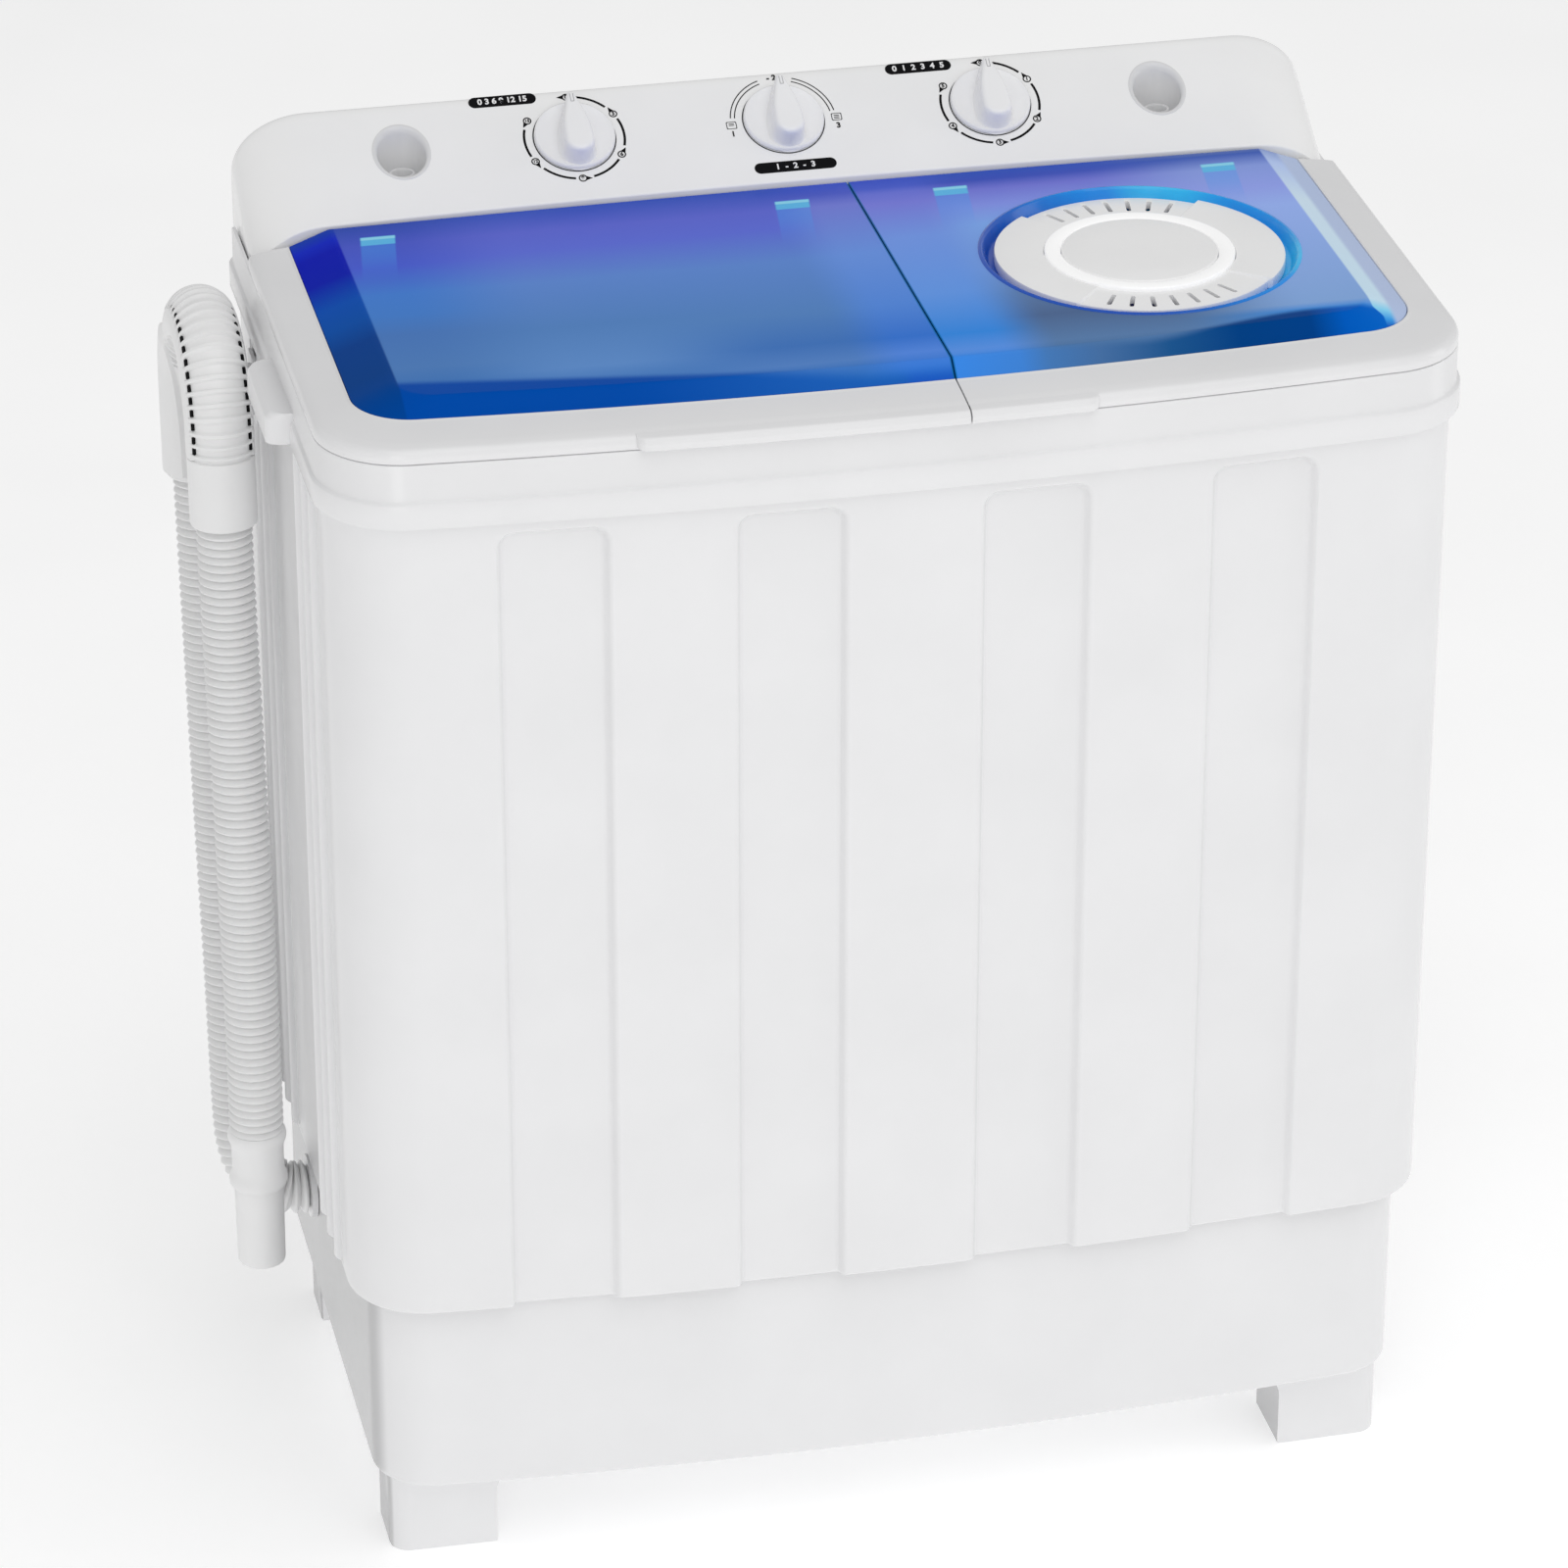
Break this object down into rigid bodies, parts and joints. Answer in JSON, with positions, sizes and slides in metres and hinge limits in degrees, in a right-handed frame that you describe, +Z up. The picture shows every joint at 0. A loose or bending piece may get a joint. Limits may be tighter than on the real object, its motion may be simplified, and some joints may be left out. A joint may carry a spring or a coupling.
{
  "type": "twin tub washer",
  "caption": "Free-standing semi-automatic washer with a wash tub and a spin tub side by side, two hinged lids, a sloping console with turning knobs and a corrugated drain hose.",
  "frame": {"origin": "on the floor under the middle of the machine's outline", "axes": "+Z up, -Y towards the user at the front, +X towards the spin tub on the right"},
  "size_m": [0.788, 0.417, 0.8719],
  "materials": {
    "cabinet_white": "moulded white plastic, light gloss",
    "console_white": "moulded off-white plastic, light gloss",
    "lid_blue": "tinted blue plastic, high gloss",
    "hose_white": "soft white plastic",
    "tub_white": "white polypropylene",
    "inner_grey": "dark grey plastic",
    "rubber_black": "black rubber",
    "zinc_steel": "zinc-plated steel",
    "motor_steel": "painted motor housing"
  },
  "bodies": {
    "cabinet": {"base_frame": "cabinet_white", "foot_front_left": "cabinet_white", "foot_front_right": "cabinet_white", "foot_rear_left": "cabinet_white", "foot_rear_right": "cabinet_white", "cabinet_shell": "cabinet_white", "back_cover": "cabinet_white", "top_frame": "cabinet_white", "hose_clip": "cabinet_white", "console_shell": "console_white", "water_inlet_left": "console_white", "water_inlet_right": "console_white", "drain_hose": "hose_white", "hose_hook": "hose_white", "hose_nozzle": "hose_white", "wash_tub": "tub_white", "spin_tub": "tub_white", "filter_channel": "tub_white", "wash_timer": "inner_grey", "wash_selector_switch": "inner_grey", "spin_timer": "inner_grey", "drain_valve": "inner_grey", "capacitor": "inner_grey", "hose_outlet": "inner_grey", "lid_switch": "inner_grey", "drive_belt": "rubber_black", "motor_mount_1": "rubber_black", "motor_mount_2": "rubber_black", "motor_mount_3": "rubber_black", "drain_pipe": "rubber_black", "wash_drain_pipe": "rubber_black", "spin_drain_pipe": "rubber_black", "power_cord_gland": "rubber_black", "shaft_housing": "motor_steel", "wash_motor": "motor_steel", "spin_motor": "motor_steel"},
    "wash_lid": {"wash_lid": "cabinet_white", "wash_lid_window": "lid_blue", "wash_hinge_left": "tub_white", "wash_hinge_right": "tub_white"},
    "spin_lid": {"spin_lid": "cabinet_white", "spin_lid_window": "lid_blue", "spin_hinge_left": "tub_white", "spin_hinge_right": "tub_white", "vent_disc": "cabinet_white", "vent_ring": "cabinet_white", "vent_cap": "cabinet_white"},
    "wash_timer_knob": {"wash_timer_knob": "console_white"},
    "wash_selector_knob": {"wash_selector_knob": "console_white"},
    "spin_timer_knob": {"spin_timer_knob": "console_white"},
    "pulsator": {"pulsator": "lid_blue", "pulsator_shaft": "zinc_steel", "large_pulley": "inner_grey"},
    "motor_pulley": {"motor_pulley": "zinc_steel"},
    "spin_basket": {"spin_basket": "zinc_steel", "spin_shaft": "zinc_steel", "brake_drum": "zinc_steel"},
    "brake_lever": {"brake_lever": "zinc_steel"},
    "lint_filter": {"lint_filter": "lid_blue"},
    "valve_plunger": {"valve_plunger": "zinc_steel"}
  },
  "joints": [
    {"name": "wash_lid_hinge", "type": "hinge", "parent": "cabinet", "child": "wash_lid", "pos_m": [-0.1635, 0.113, 0.8095], "axis": [-1, 0, 0], "range_deg": [0, 95]},
    {"name": "spin_lid_hinge", "type": "hinge", "parent": "cabinet", "child": "spin_lid", "pos_m": [0.195, 0.113, 0.8095], "axis": [-1, 0, 0], "range_deg": [0, 95]},
    {"name": "wash_timer_turn", "type": "hinge", "parent": "cabinet", "child": "wash_timer_knob", "pos_m": [-0.1375, 0.17029, 0.84481], "axis": [0, 0.515, -0.8572], "range_deg": [0, 300]},
    {"name": "wash_selector_turn", "type": "hinge", "parent": "cabinet", "child": "wash_selector_knob", "pos_m": [0, 0.17029, 0.84481], "axis": [0, 0.515, -0.8572], "range_deg": [-102, 102]},
    {"name": "spin_timer_turn", "type": "hinge", "parent": "cabinet", "child": "spin_timer_knob", "pos_m": [0.1375, 0.17029, 0.84481], "axis": [0, 0.515, -0.8572], "range_deg": [0, 300]},
    {"name": "pulsator_spin", "type": "hinge", "parent": "cabinet", "child": "pulsator", "pos_m": [-0.165, -0.018, 0.33], "axis": [0, 0, 1], "continuous": true},
    {"name": "motor_pulley_spin", "type": "hinge", "parent": "cabinet", "child": "motor_pulley", "pos_m": [0.03, 0.1, 0.125], "axis": [0, 0, 1], "continuous": true},
    {"name": "spin_basket_spin", "type": "hinge", "parent": "cabinet", "child": "spin_basket", "pos_m": [0.19, -0.02, 0.34], "axis": [0, 0, 1], "continuous": true},
    {"name": "brake_lever_turn", "type": "hinge", "parent": "cabinet", "child": "brake_lever", "pos_m": [0.25, 0.04, 0.25], "axis": [0, 0, -1], "range_deg": [0, 5.4]},
    {"name": "lint_filter_lift", "type": "slide", "parent": "cabinet", "child": "lint_filter", "axis": [0, 0, 1], "range_m": [0, 0.075]},
    {"name": "valve_plunger_lift", "type": "slide", "parent": "cabinet", "child": "valve_plunger", "axis": [0, 0, 1], "range_m": [0, 0.012]}
  ],
  "couplings": [
    {"joint": "motor_pulley_spin", "follows": "pulsator_spin", "ratio": 3.1429},
    {"joint": "brake_lever_turn", "follows": "spin_lid_hinge", "ratio": 0.056}
  ]
}
